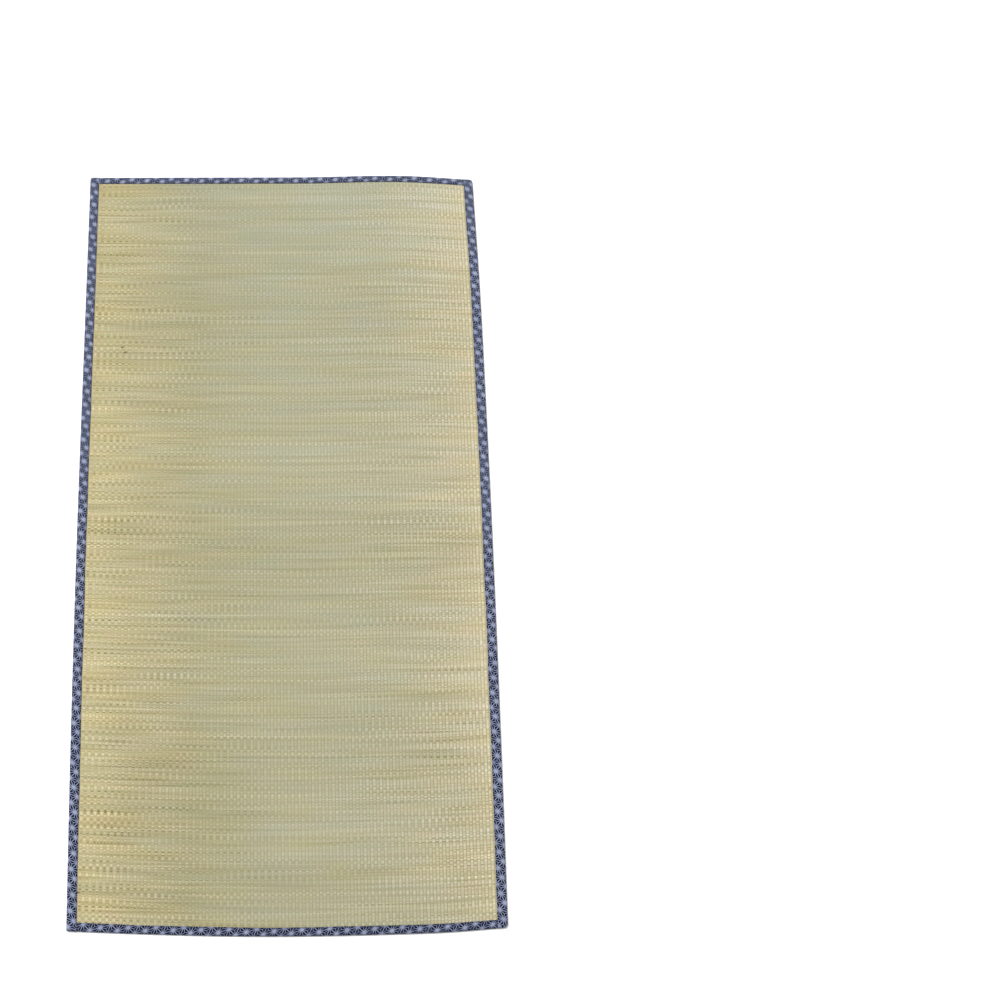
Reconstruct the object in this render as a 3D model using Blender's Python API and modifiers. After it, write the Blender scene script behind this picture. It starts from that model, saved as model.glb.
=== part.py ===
"""A straw mat: a panel of plain-woven rush whose four edges are each folded into a cotton binding tape.

Metres, +Z up. The mat lies flat on z = 0, with +X across it and +Y from its near end to its far end.
"""

import math

import bmesh
import bpy
import numpy as np

MM = 0.001

# The straight lines that the mat was cut to, from corner to corner.
MAT_WIDTH = 898 * MM
MAT_LENGTH = 1896 * MM

# How far each edge lies outside its straight line. Columns: the share of the edge, from the left or from the
# near end, and the distance outwards.
NEAR_LINE = ((0.00, 0.0 * MM), (0.15, 5.6 * MM), (0.43, 11.4 * MM), (0.70, 7.8 * MM), (0.87, 1.9 * MM),
             (1.00, -7.9 * MM))
FAR_LINE = ((0.00, 0.6 * MM), (0.20, 1.3 * MM), (0.55, 2.3 * MM), (0.85, 5.2 * MM), (1.00, -5.8 * MM))
LEFT_LINE = ((0.00, 0.8 * MM), (0.20, 4.2 * MM), (0.50, 5.5 * MM), (0.75, 3.3 * MM), (1.00, 0.9 * MM))
RIGHT_LINE = ((0.00, -0.8 * MM), (0.20, 3.0 * MM), (0.65, 6.2 * MM), (0.85, 4.6 * MM), (1.00, -0.5 * MM))

# How round each corner is in plan.
CORNER_RADIUS = {"near_left": 3.0 * MM, "near_right": 8.0 * MM, "far_right": 6.0 * MM, "far_left": 2.0 * MM}

# The woven rush: flat below, with a rib over each warp on top.
RIB_COUNT = 127
RIB_DEPTH = 0.5 * MM
PANEL_THICKNESS = 2.4 * MM
PRESSED_THICKNESS = 2.0 * MM
FIELD_ROWS = 6

# The tape, doubled at its turned-in edges, and the gap that each piece keeps to the next.
TAPE_THICKNESS = 1.0 * MM
GAP = 0.3 * MM
SIDE_TAPE_WIDTH = 20.5 * MM
END_TAPE_WIDTH = 18 * MM
FOLD_RADIUS = 1.3 * MM
FOLD_STEPS = 2
CORNER_STEPS = 3
SIDE_STEPS = 12
END_STEPS = 20

# The tape below the rush lifts the panel's rim off the surface. The lift ends past the tape's inner edge.
PANEL_INSET = TAPE_THICKNESS + GAP
RIM_LIFT = TAPE_THICKNESS + GAP
RIM_WIDTH = SIDE_TAPE_WIDTH + 4 * MM
RAMP_WIDTH = 12 * MM
BINDING_HEIGHT = 2 * TAPE_THICKNESS + 2 * GAP + PRESSED_THICKNESS

# Colours as a shader takes them, and roughness.
RUSH_COLOUR = (0.49, 0.45, 0.29, 1.0)
RUSH_ROUGHNESS = 0.7
TAPE_COLOUR = (0.12, 0.14, 0.28, 1.0)
TAPE_ROUGHNESS = 0.9


def between(first, last, share):
    return first + (last - first) * share


def smooth_line(table):
    """A function that gives a smooth line through the table's points, whose slopes follow the neighbours."""
    shares, outwards = np.array(table).T
    slopes = np.gradient(outwards, shares)

    def at(share):
        i = int(np.clip(np.searchsorted(shares, share) - 1, 0, len(shares) - 2))
        run = shares[i + 1] - shares[i]
        f = (share - shares[i]) / run
        level = outwards[i] * (1 + 2 * f) * (1 - f) ** 2 + outwards[i + 1] * f * f * (3 - 2 * f)
        turn = slopes[i] * f * (1 - f) ** 2 - slopes[i + 1] * f * f * (1 - f)
        return float(level + turn * run)

    return at


near_line = smooth_line(NEAR_LINE)
far_line = smooth_line(FAR_LINE)
left_line = smooth_line(LEFT_LINE)
right_line = smooth_line(RIGHT_LINE)


def side_ends(across):
    """Where a line along the mat, at this share of its width, meets the near and the far edge."""
    return -MAT_LENGTH / 2 - near_line(across), MAT_LENGTH / 2 + far_line(across)


def row_ends(along):
    """Where a line across the mat, at this share of its length, meets the left and the right edge."""
    return -MAT_WIDTH / 2 - left_line(along), MAT_WIDTH / 2 + right_line(along)


def plan_point(across, along):
    """The point of the mat's plan at these shares of its width and length."""
    return between(*row_ends(along), across), between(*side_ends(across), along)


def rounded_off(distance, radius):
    """How far a round corner draws one edge in, at this distance from the other edge."""
    if distance >= radius:
        return 0.0
    return radius - math.sqrt(radius**2 - (radius - distance) ** 2)


def new_material(name, colour, roughness):
    material = bpy.data.materials.new(name)
    material.use_nodes = True
    shader = material.node_tree.nodes["Principled BSDF"]
    shader.inputs["Base Color"].default_value = colour
    shader.inputs["Roughness"].default_value = roughness
    return material


def new_object(name, bm, material, collection):
    """Turns the finished bmesh into a named object of the collection."""
    mesh = bpy.data.meshes.new(name)
    bm.to_mesh(mesh)
    bm.free()
    mesh.materials.append(material)
    obj = bpy.data.objects.new(name, mesh)
    collection.objects.link(obj)
    return obj


def panel_rows():
    """The panel's lines across. Columns: the distance in from both ends, and the share of what is left."""
    inner = RIM_WIDTH + RAMP_WIDTH
    rim = ((PANEL_INSET, 0), (RIM_WIDTH, 0))
    field = tuple((inner, row / FIELD_ROWS) for row in range(FIELD_ROWS + 1))
    return rim + field + tuple((inset, 1) for inset, _ in reversed(rim))


def corner_cut(across, far):
    """How far the panel's end is drawn in by the corner that this share of the width is nearest to."""
    side = "left" if across < 0.5 else "right"
    distance = min(across, 1 - across) * MAT_WIDTH
    radius = max(0.0, CORNER_RADIUS[f"{'far' if far else 'near'}_{side}"] - PANEL_INSET)
    return rounded_off(distance, radius)


def panel_point(across, row, shift):
    """The panel's plan point at this share of the width, on this row, drawn in by shift all round."""
    inset, along = row
    left, right = row_ends(along)
    near, far = side_ends(across)
    cut_near = cut_far = 0.0
    if inset == PANEL_INSET and shift == 0:
        cut_near = corner_cut(across, far=False)
        cut_far = corner_cut(across, far=True)
    x = between(left + PANEL_INSET + shift, right - PANEL_INSET - shift, across)
    y = between(near + inset + shift + cut_near, far - inset - shift - cut_far, along)
    return x, y


def lifted(distance):
    """1 over the tape below the rush and 0 on the field, at this distance from the mat's edge."""
    return min(1.0, max(0.0, 1 - (distance - RIM_WIDTH) / RAMP_WIDTH))


def make_panel(material, collection):
    """A ribbed grid, with rings drawn down and in from its rim to a flat underside."""
    rows = panel_rows()
    columns = 2 * RIB_COUNT
    bm = bmesh.new()
    bmesh.ops.create_grid(bm, x_segments=columns, y_segments=len(rows) - 1, size=0.5)
    column_of = bm.verts.layers.int.new("column")
    row_of = bm.verts.layers.int.new("row")
    for vertex in bm.verts:
        column = round((vertex.co.x + 0.5) * columns)
        row = round((vertex.co.y + 0.5) * (len(rows) - 1))
        vertex[column_of] = column
        vertex[row_of] = row
        across = column / columns
        x, y = panel_point(across, rows[row], shift=0)
        to_side = PANEL_INSET + min(across, 1 - across) * MAT_WIDTH
        lift = max(lifted(to_side), lifted(rows[row][0]))
        top = between(PANEL_THICKNESS, RIM_LIFT + PRESSED_THICKNESS, lift)
        groove = RIB_DEPTH if column % 2 == 0 else 0.0
        vertex.co = (x, y, top - groove)
    rim = [edge for edge in bm.edges if edge.is_boundary]
    for shift, height in ((0.0, RIM_LIFT), (RIM_WIDTH - PANEL_INSET, RIM_LIFT),
                          (RIM_WIDTH + RAMP_WIDTH - PANEL_INSET, 0.0)):
        drawn = bmesh.ops.extrude_edge_only(bm, edges=rim)["geom"]
        for vertex in (item for item in drawn if isinstance(item, bmesh.types.BMVert)):
            x, y = panel_point(vertex[column_of] / columns, rows[vertex[row_of]], shift)
            vertex.co = (x, y, height)
        rim = [item for item in drawn if isinstance(item, bmesh.types.BMEdge) and item.is_boundary]
    bmesh.ops.edgeloop_fill(bm, edges=rim)
    bmesh.ops.recalc_face_normals(bm, faces=bm.faces)
    return new_object("rush_panel", bm, material, collection)


def tape_section(width):
    """The tape's outer line over an edge, from the upper flap's tip to the lower one's: (inward, height)."""
    turns = [step / FOLD_STEPS * math.pi / 2 for step in range(FOLD_STEPS + 1)]
    arc = [(FOLD_RADIUS * (1 - math.sin(turn)), FOLD_RADIUS * (1 - math.cos(turn))) for turn in turns]
    upper = [(inward, BINDING_HEIGHT - drop) for inward, drop in arc]
    return [(width, BINDING_HEIGHT)] + upper + arc[::-1] + [(width, 0.0)]


def edge_point(edge, along, inward):
    """The plan point at this share of an edge, counted anticlockwise round the mat, and this far inwards."""
    if edge == "near":
        return plan_point(along, inward / MAT_LENGTH)
    if edge == "right":
        return plan_point(1 - inward / MAT_WIDTH, along)
    if edge == "far":
        return plan_point(1 - along, 1 - inward / MAT_LENGTH)
    return plan_point(inward / MAT_WIDTH, 1 - along)


def make_binding(edge, width, rows, closed_ends, material, collection):
    """A tape folded round one edge. Each row has the share of the edge, and how far its corner is drawn in."""
    section = tape_section(width)
    bm = bmesh.new()
    bmesh.ops.create_grid(bm, x_segments=len(section) - 1, y_segments=len(rows) - 1, size=0.5)
    ends = {0: [], len(rows) - 1: []}
    for vertex in sorted(bm.verts, key=lambda v: v.co.x):
        inward, height = section[round((vertex.co.x + 0.5) * (len(section) - 1))]
        row = round((vertex.co.y + 0.5) * (len(rows) - 1))
        along, drawn_in = rows[row]
        x, y = edge_point(edge, along, between(drawn_in, width, inward / width))
        vertex.co = (x, y, height)
        if row in ends:
            ends[row].append(vertex)
    if closed_ends:
        bm.faces.new(ends[0][::-1])
        bm.faces.new(ends[len(rows) - 1])
    obj = new_object(f"binding_{edge}", bm, material, collection)
    solidify = obj.modifiers.new("tape thickness", "SOLIDIFY")
    solidify.thickness = TAPE_THICKNESS
    solidify.offset = -1
    solidify.use_even_offset = True
    return obj


def side_rows(first_radius, last_radius):
    """Rows of a tape that runs the whole side and round both corners."""
    turns = [step / CORNER_STEPS * math.pi / 2 for step in range(CORNER_STEPS)]
    first = [first_radius * (1 - math.sin(turn)) for turn in reversed(turns)]
    last = [last_radius * (1 - math.sin(turn)) for turn in turns]
    rows = [(0.0, first_radius)]
    rows += [(d / MAT_LENGTH, rounded_off(d, first_radius)) for d in first]
    rows += [(step / SIDE_STEPS, 0.0) for step in range(1, SIDE_STEPS)]
    rows += [(1 - d / MAT_LENGTH, rounded_off(d, last_radius)) for d in last]
    rows += [(1.0, last_radius)]
    return rows


def end_rows():
    """Rows of a tape that runs across an end, from one side's tape to the other's."""
    margin = (SIDE_TAPE_WIDTH + GAP) / MAT_WIDTH
    return [(between(margin, 1 - margin, step / END_STEPS), 0.0) for step in range(END_STEPS + 1)]


def main():
    for old in list(bpy.data.objects):
        bpy.data.objects.remove(old)
    collection = bpy.data.collections.new("straw_mat")
    bpy.context.scene.collection.children.link(collection)
    rush = new_material("rush", RUSH_COLOUR, RUSH_ROUGHNESS)
    tape = new_material("binding_tape", TAPE_COLOUR, TAPE_ROUGHNESS)
    right_rows = side_rows(CORNER_RADIUS["near_right"], CORNER_RADIUS["far_right"])
    left_rows = side_rows(CORNER_RADIUS["far_left"], CORNER_RADIUS["near_left"])
    pieces = [
        make_panel(rush, collection),
        make_binding("near", END_TAPE_WIDTH, end_rows(), False, tape, collection),
        make_binding("right", SIDE_TAPE_WIDTH, right_rows, True, tape, collection),
        make_binding("far", END_TAPE_WIDTH, end_rows(), False, tape, collection),
        make_binding("left", SIDE_TAPE_WIDTH, left_rows, True, tape, collection),
    ]
    # The mat hangs on an empty that brings the middle of its outline to x = y = 0.
    corners = np.array([v.co[:2] for piece in pieces for v in piece.data.vertices])
    middle = (corners.min(axis=0) + corners.max(axis=0)) / 2
    mat = bpy.data.objects.new("mat", None)
    mat.location = (-middle[0], -middle[1], 0)
    collection.objects.link(mat)
    for piece in pieces:
        piece.parent = mat


main()
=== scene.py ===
"""The looks of the straw mat: its woven rush, its printed bindings and their stitching, on a pale floor.

Metres, +Z up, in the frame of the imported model. The rush is a real weave of rounded floats, cut along its
warps into bands of ribs so that no piece grows too large. Each binding is a folded tape with a print.
"""

import math

import bpy
import numpy as np
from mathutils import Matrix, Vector


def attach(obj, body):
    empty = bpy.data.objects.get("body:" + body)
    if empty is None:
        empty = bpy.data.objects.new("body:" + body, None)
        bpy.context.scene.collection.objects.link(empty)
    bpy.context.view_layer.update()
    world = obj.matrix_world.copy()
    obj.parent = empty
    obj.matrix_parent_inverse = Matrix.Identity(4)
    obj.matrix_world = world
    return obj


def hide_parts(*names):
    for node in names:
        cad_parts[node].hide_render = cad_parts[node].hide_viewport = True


MM = 0.001
EDGES = ("near", "right", "far", "left")

# The mat's plan, as in the model's source: the straight lines from corner to corner, how far each edge lies
# outside its line (the share of the edge from the left or the near end, and the distance), and its corners.
MAT_WIDTH = 898 * MM
MAT_LENGTH = 1896 * MM
NEAR_LINE = ((0.00, 0.0 * MM), (0.15, 5.6 * MM), (0.43, 11.4 * MM), (0.70, 7.8 * MM), (0.87, 1.9 * MM),
             (1.00, -7.9 * MM))
FAR_LINE = ((0.00, 0.6 * MM), (0.20, 1.3 * MM), (0.55, 2.3 * MM), (0.85, 5.2 * MM), (1.00, -5.8 * MM))
LEFT_LINE = ((0.00, 0.8 * MM), (0.20, 4.2 * MM), (0.50, 5.5 * MM), (0.75, 3.3 * MM), (1.00, 0.9 * MM))
RIGHT_LINE = ((0.00, -0.8 * MM), (0.20, 3.0 * MM), (0.65, 6.2 * MM), (0.85, 4.6 * MM), (1.00, -0.5 * MM))
CORNER_RADIUS = {"near_left": 3.0 * MM, "near_right": 8.0 * MM, "far_right": 6.0 * MM, "far_left": 2.0 * MM}

# The woven rush: a rib over each warp, grooves between them (their depth at the left and the right), and
# picks that show as a float on every other rib, each two straws wide.
RIB_COUNT = 127
RIB_DEPTH = (0.35 * MM, 0.70 * MM)
PICK_COUNT = 1312
FLOAT_DEPTH = 0.38 * MM
PANEL_THICKNESS = 2.4 * MM
PRESSED_THICKNESS = 2.0 * MM

# How far picks and single floats lie too high or too low, since straws differ.
PICK_UNEVEN = 0.05 * MM
FLOAT_UNEVEN = 0.035 * MM

# The panel's rim: how far inside the outline it ends, how high and how wide the tape below lifts it, the
# ramp beside that, and how far from the ends round corners draw the picks in.
PANEL_INSET = 1.3 * MM
RIM_LIFT = 1.3 * MM
RIM_WIDTH = 24.5 * MM
RAMP_WIDTH = 12 * MM
CORNER_REACH = 15 * MM

# The ribs of a band, and the picks to each face of its plain underside.
BAND_RIBS = 16
UNDER_STEP = 4

# A band's flat map: the rows for its top, its underside and its walls, the shares of the map's height that
# the first two take, and the margin round each row.
TOP_ROWS = 4
UNDER_ROWS = 2
WALL_ROWS = 4
TOP_SHARE = 0.70
UNDER_SHARE = 0.26
MAP_GAP = 0.004

# How a straw's shade drifts along its pick, as a share of the mean: slowly in the mat's middle, faster at
# its sides, and along both picks of a pair. MIDDLE_DRIFT is for the middle and the sides, the others are
# for the left and the right. RIBS says in how many ribs each drift changes.
MIDDLE_DRIFT = (0.44, 0.132)
MIDDLE_DRIFT_RIBS = 75
SIDE_DRIFT = (1.32, 0.95)
SIDE_DRIFT_RIBS = 20
PAIR_DRIFT = (0.58, 0.38)
PAIR_DRIFT_RIBS = 45

# How far from the mat's middle, as a share of its width, the sides' own shades are full, and how much of
# their drift the middle has.
SIDE_REACH = 0.45
MIDDLE_SHARE = 0.2

# Each pick has a tint of its own and darkens from its straws' roots to their tips (on the left and the
# right). ROOT_STRAY is the share of the width over which the roots' places vary. Picks with more luck than
# LIGHT_LUCK are lighter still where their shade drifts up, in full from LIGHT_START on.
PICK_TINT = 0.05
ROOT_TO_TIP = (0.08, 0.06)
ROOT_STRAY = 0.5
LIGHT_PICK = 0.14
LIGHT_LUCK = 0.75
LIGHT_START = 0.12

# How strong all that is at the near end (on the left and the right), and on top of a rib and in a groove.
NEAR_CONTRAST = (1.32, 1.42)
RIB_CONTRAST = (1.05, 0.20)

# How far straws differ in shade, and how much painted shade darkens the grooves between ribs (on the left
# and the right) and the creases between straws.
STRAW_TINT = 0.035
GROOVE_PAINTED_SHADE = (0.03, 0.29)
CREASE_PAINTED_SHADE = 0.06

# The straw's mean colours on a screen, from the left to the right, at the near and the far end. The near
# ones give way to the far ones with this power of the share of the length.
NEAR_STRAW = (
    (0.0, (183, 170, 131)), (0.05, (176, 166, 128)), (0.12, (169, 159, 123)), (0.28, (159, 153, 121)),
    (0.5, (162, 158, 130)), (0.75, (167, 162, 135)), (0.9, (176, 168, 140)), (1.0, (190, 180, 150)),
)
FAR_STRAW = (
    (0.0, (167, 154, 118)), (0.05, (165, 156, 119)), (0.12, (162, 155, 122)), (0.28, (155, 152, 126)),
    (0.5, (160, 159, 137)), (0.75, (167, 165, 143)), (0.9, (183, 177, 153)), (1.0, (190, 180, 152)),
)
FAR_POWER = 3.0

# How much a straw's red, green and blue follow its shade: a lighter one is creamier, a darker browner.
SHADE_TINT = (1.20, 1.21, 1.66)

# How far hues go: along each straw between a greener and a redder one, in full where the drift is
# HUE_DRIFT, and in patches of so many ribs and picks between a yellower and a greyer one.
GREENER = (0.970, 1.015, 0.95)
REDDER = (1.028, 0.985, 1.02)
HUE_DRIFT = 0.14
HUE_DRIFT_RIBS = 9
YELLOWER = (1.020, 0.998, 0.93)
GREYER = (0.976, 1.005, 1.055)
PATCH_RIBS = 24
PATCH_PICKS = 26

# Broad bands of lighter or darker straw: the place of the band's middle and half its breadth as shares of
# the length, by how much it is lighter, and the shares of the width where it starts and ends. It fades in
# and out over BAND_FADE of the width.
TONE_BANDS = (
    (0.81, 0.13, -0.028, -0.2, 1.2), (0.594, 0.085, 0.031, -0.2, 1.2), (0.473, 0.075, -0.021, -0.2, 1.2),
    (0.345, 0.065, 0.026, -0.2, 1.2), (0.15, 0.09, -0.036, 0.02, 0.48), (0.115, 0.065, 0.055, 0.38, 0.95),
    (0.32, 0.13, 0.040, 0.78, 1.2), (0.05, 0.05, -0.035, -0.2, 0.40),
)
BAND_FADE = 0.15

# Light streaks of two picks: the share of the length, the shares of the width where each starts and ends,
# by how much they are lighter, and over which shares of the width they fade in and out.
LIGHT_STREAKS = ((0.3865, -0.01, 0.49), (0.1180, 0.02, 0.24), (0.5296, 0.70, 0.93), (0.9160, 0.06, 0.34))
STREAK_LIGHT = 0.20
STREAK_FADES = (0.10, 0.12)

# Dark specks: their shares of the width and the length, their colour on a screen, how much it covers in the
# middle, between which distances, in millimetres, it thins out, and their length as a share of their breadth.
SPECKS = ((0.095, 0.749), (0.103, 0.742), (0.024, 0.044))
SPECK_COLOUR = (88, 74, 48)
SPECK_COVER = 0.80
SPECK_FADE = (1.2, 3.6)
SPECK_SQUEEZE = 0.6

# The straw's surface: its fibres' shades, how high they and a straw's round top stand, how many fibres and
# blotches there are to a rib or a pick, its roughness and its gloss.
FIBRE_SHADE = (0.93, 1.07)
FIBRE_HEIGHT = 0.05 * MM
STRAW_ROUND = 0.30 * MM
FIBRES_A_RIB = 0.8
FIBRES_A_PICK = 9.0
BLOTCHES_A_RIB = 0.3
RUSH_ROUGHNESS = (0.50, 0.68)
RUSH_SPECULAR = 0.35

# How far apart next picks lie in the noise, and where each kind of noise and random number is read, so that
# none repeats another.
PICK_STRIDE = 7.31
MIDDLE_ROW, SIDE_ROW, HUE_ROW, PAIR_ROW, PATCH_ROW = 0.0, 40.0, 80.0, 120.0, 17.0
TINT_ROW, LUCK_ROW, STRAW_ROW, THREAD_ROW = 3.7, 8.2, 9.1, 1.3

# The tape: the width that shows, the hem that is turned in, and the mesh's steps along it and round a corner.
SIDE_TAPE_WIDTH = 20.5 * MM
END_TAPE_WIDTH = 18 * MM
TAPE_STEP = 5 * MM
CORNER_STEPS = 6

# A side's tape laps over those of the ends: it rises this much, from this far off its ends, over this ramp.
LAP_HEIGHT = 0.35 * MM
LAP_LENGTH = 26 * MM
LAP_RAMP = 0.3 * LAP_LENGTH

# Over its last TUCK_LENGTH a side's tape is closed to a slit and rounded off towards TUCK_HEIGHT, down to
# this share of its height. It closes within TUCK_STEP.
TUCK_LENGTH = 1.2 * MM
TUCK_HEIGHT = 2.25 * MM
TUCK_SHARE = 0.4
TUCK_STEP = 0.07 * MM
TUCK_SLIT = 0.01 * MM

# The tape's section over an edge. Columns: the distance inwards as a share of the width, plus a distance in
# millimetres, the height in millimetres, and 1 on the outer face or 0 on the inner one.
TAPE_SECTION = (
    (1.0, -0.05, 3.36, 1), (1.0, 0.12, 3.75, 1), (1.0, 0.00, 4.12, 1), (1.0, -0.45, 4.36, 1),
    (1.0, -1.30, 4.42, 1), (1.0, -2.40, 4.30, 1), (1.0, -3.80, 4.50, 1), (1.0, -6.00, 4.58, 1),
    (0.5, 0.00, 4.60, 1), (0.0, 4.60, 4.56, 1), (0.0, 2.60, 4.42, 1), (0.0, 1.25, 4.08, 1),
    (0.0, 0.40, 3.45, 1), (0.0, 0.03, 2.60, 1), (0.0, 0.06, 1.60, 1), (0.0, 0.45, 0.72, 1),
    (0.0, 1.30, 0.16, 1), (0.0, 2.60, 0.00, 1), (0.5, 0.00, 0.00, 1), (1.0, -0.60, 0.00, 1),
    (1.0, 0.00, 0.45, 0), (1.0, -0.55, 0.98, 0), (0.5, 0.00, 1.05, 0), (0.0, 2.30, 1.10, 0),
    (0.0, 1.20, 1.60, 0), (0.0, 1.18, 2.80, 0), (0.0, 2.20, 3.36, 0), (0.5, 0.00, 3.50, 0),
    (1.0, -2.40, 3.34, 0),
)

# The heights between which the upper flap begins, and the one that parts the two flaps inside.
UPPER_FLAP = (3.0 * MM, 4.3 * MM)
SECTION_MIDDLE = 2.4 * MM

# The waves that add up to uneven lines: the length and the height of each, for the tape's inner edge and
# for its upper flap's puckers, the lengths of each wave's parts as shares of its own, and the share of the
# tape's width over which its inner edge's straying fades in.
EDGE_WAVES = ((0.31, 0.45 * MM), (0.09, 0.22 * MM))
PUCKER_WAVES = ((0.052, 0.12 * MM), (0.019, 0.08 * MM))
WAVE_PARTS = (0.8, 1.0, 1.3)
STRAY_SHARE = 0.625

# A tape's flat map: the rows that it is cut into, the share of the map's height that they take, and the
# radius and the places of its two ends' rings.
TAPE_ROWS = {"near": 3, "right": 5, "far": 3, "left": 5}
TAPE_SHARE = 0.98
RING_RADIUS = 0.008
RING_PLACES = ((0.02, 0.99), (0.05, 0.99))

# The hemp-leaf print: the stars' spacing, how far its rows slant across the tape, and by how many degrees
# it is turned and where it starts on each tape.
STAR_SPACING = 21.2 * MM
STAR_SLANT = -0.27
STAR_TURN = {"near": 8.5, "right": 6.4, "far": 5.5, "left": 7.0}
STAR_START = {"near": 9 * MM, "right": 4 * MM, "far": 14 * MM, "left": 0 * MM}

# The print's lines, in millimetres: half their width, which varies, how much more it is at a star's middle
# (from none to all of that between two nearnesses), how much less on its spokes, how far the ink has spread
# on each tape, and how soft the lines' edges are.
LINE_REACH = (0.37, 0.55)
STAR_REACH = 0.34
STAR_FADE = (0.46, 0.84)
SPOKE_THINNER = 0.18
INK_SPREAD = {"near": 0.07, "right": 0.24, "far": 0.18, "left": 0.18}
LINE_SOFTNESS = 0.14

# The cotton's two navies and the ink's two pale blues, on a screen, the ink's cover where it is worn and
# where it isn't, and how fine the noise of each is.
NAVY = ((14, 17, 36), (22, 27, 52))
NAVY_FINENESS = 120.0
PALE_BLUE = ((131, 139, 167), (150, 158, 181))
PALE_FINENESS = 60.0
INK_COVER = (0.82, 1.0)
COVER_FINENESS = 35.0
INK_FINENESS = 420.0

# The cotton's surface: its yarns' pitches and shades, how high they and the ink stand, its roughness in and
# on the weave, and its gloss.
WARP_PITCH = 0.45 * MM
WEFT_PITCH = 0.50 * MM
YARN_SHADE = (0.90, 1.08)
YARN_HEIGHT = 0.04 * MM
INK_HEIGHT = 0.10 * MM
TAPE_ROUGHNESS = (0.92, 0.80)
TAPE_SPECULAR = 0.04

# Painted shade in dark lines at the tape's turned edge and along its seam: over which distances each fades,
# and its shade.
HEM_PAINTED_SHADE = (0.1 * MM, 1.4 * MM, 0.45)
SEAM_PAINTED_SHADE = (0.2 * MM, 0.7 * MM, 0.72)

# The stitching: how far from a tape's inner edge it lies, the stitches' length, pitch and height, how far
# from the corners it stops on the sides and the ends, and how far a stitch strays.
STITCH_INSET = 2.4 * MM
STITCH_LENGTH = 5.2 * MM
STITCH_PITCH = 6.4 * MM
STITCH_HEIGHT = 4.30 * MM
SIDE_STITCH_MARGIN = 5 * MM
END_STITCH_MARGIN = SIDE_TAPE_WIDTH + 2 * MM
STITCH_STRAY = (0.2 * MM, 0.12 * MM)

# A stitch's arch: places as shares of its length, and heights above STITCH_HEIGHT in millimetres.
STITCH_ARCH = ((-0.5, -0.30), (-0.32, 0.14), (0.32, 0.14), (0.5, -0.30))

# The thread: its radius, sides and twist, its two colours on a screen, its shades, roughness and relief.
THREAD_RADIUS = 0.26 * MM
THREAD_SIDES = 5
THREAD_TWIST = 0.5 * MM
THREAD_COLOURS = ((22, 24, 58), (46, 50, 92))
THREAD_SHADE = (0.75, 1.1)
THREAD_ROUGHNESS = (0.75, 0.6)
THREAD_HEIGHT = 0.05 * MM

# Seeds of the random draws. The last three are added to an edge's number in EDGES.
STRAW_SEED = 11
STRAY_SEED = 3
PUCKER_SEED = 23
STITCH_SEED = 43

# The camera at the photograph's place, looking along +Y and down.
CAMERA_PLACE = (-0.0887, -3.2624, 5.6636)
CAMERA_ELEVATION = 59.512
CAMERA_LENS = 107.23
CAMERA_SENSOR = 36.0
CAMERA_SHIFT = 0.256
CAMERA_REACH = 100.0

# The studio: a pale floor just below the mat, white light from all round, and a soft lamp at the back left.
FLOOR_SIZE = 40.0
FLOOR_DROP = 0.2 * MM
FLOOR_COLOUR = (0.93, 0.93, 0.93, 1)
FLOOR_SPECULAR = 0.1
SKY_COLOUR = (1.0, 1.0, 1.0, 1)
SKY_STRENGTH = 0.62
LAMP_PLACE = (-6.0, 4.0, 9.0)
LAMP_POWER = 1500
LAMP_SIZE = 5.0


def between(first, last, share):
    return first + (last - first) * share


def smooth_line(table):
    """A function that gives a smooth line through the table's points, whose slopes follow the neighbours."""
    shares, outwards = np.array(table).T
    slopes = np.gradient(outwards, shares)

    def at(share):
        share = np.asarray(share, float)
        i = np.clip(np.searchsorted(shares, share) - 1, 0, len(shares) - 2)
        run = shares[i + 1] - shares[i]
        f = (share - shares[i]) / run
        level = outwards[i] * (1 + 2 * f) * (1 - f) ** 2 + outwards[i + 1] * f * f * (3 - 2 * f)
        turn = slopes[i] * f * (1 - f) ** 2 - slopes[i + 1] * f * f * (1 - f)
        return level + turn * run

    return at


near_line, far_line, left_line, right_line = map(smooth_line, (NEAR_LINE, FAR_LINE, LEFT_LINE, RIGHT_LINE))


def side_ends(across):
    """Where a line along the mat, at this share of its width, meets the near and the far edge."""
    return -MAT_LENGTH / 2 - near_line(across), MAT_LENGTH / 2 + far_line(across)


def row_ends(along):
    """Where a line across the mat, at this share of its length, meets the left and the right edge."""
    return -MAT_WIDTH / 2 - left_line(along), MAT_WIDTH / 2 + right_line(along)


def plan_point(across, along):
    """The point of the mat's plan at these shares of its width and length."""
    left, right = row_ends(along)
    near, far = side_ends(across)
    return between(left, right, across), between(near, far, along)


def edge_point(edge, along, inward):
    """The plan point at this share of an edge, counted anticlockwise round the mat, and this far inwards."""
    if edge == "near":
        return plan_point(along, inward / MAT_LENGTH)
    if edge == "right":
        return plan_point(1 - inward / MAT_WIDTH, along)
    if edge == "far":
        return plan_point(1 - along, 1 - inward / MAT_LENGTH)
    return plan_point(inward / MAT_WIDTH, 1 - along)


def is_side(edge):
    return edge in ("left", "right")


def edge_length(edge):
    return MAT_LENGTH if is_side(edge) else MAT_WIDTH


def rounded_off(distance, radius):
    """How far a round corner draws one edge in, at this distance from the other edge."""
    reach = np.clip(radius - distance, 0, radius)
    return radius - np.sqrt(radius**2 - reach**2)


def smooth_step(share):
    share = np.clip(share, 0, 1)
    return share * share * (3 - 2 * share)


def wander(places, seed, waves):
    """A smooth uneven line along these places, as a sum of waves: (length, height) of each."""
    rng = np.random.default_rng(seed)
    total = np.zeros_like(places)
    for length, height in waves:
        for part in WAVE_PARTS:
            phase = rng.uniform(0, 2 * math.pi)
            total += height / 2 * np.sin(2 * math.pi * places / (length * part) + phase)
    return total


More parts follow.
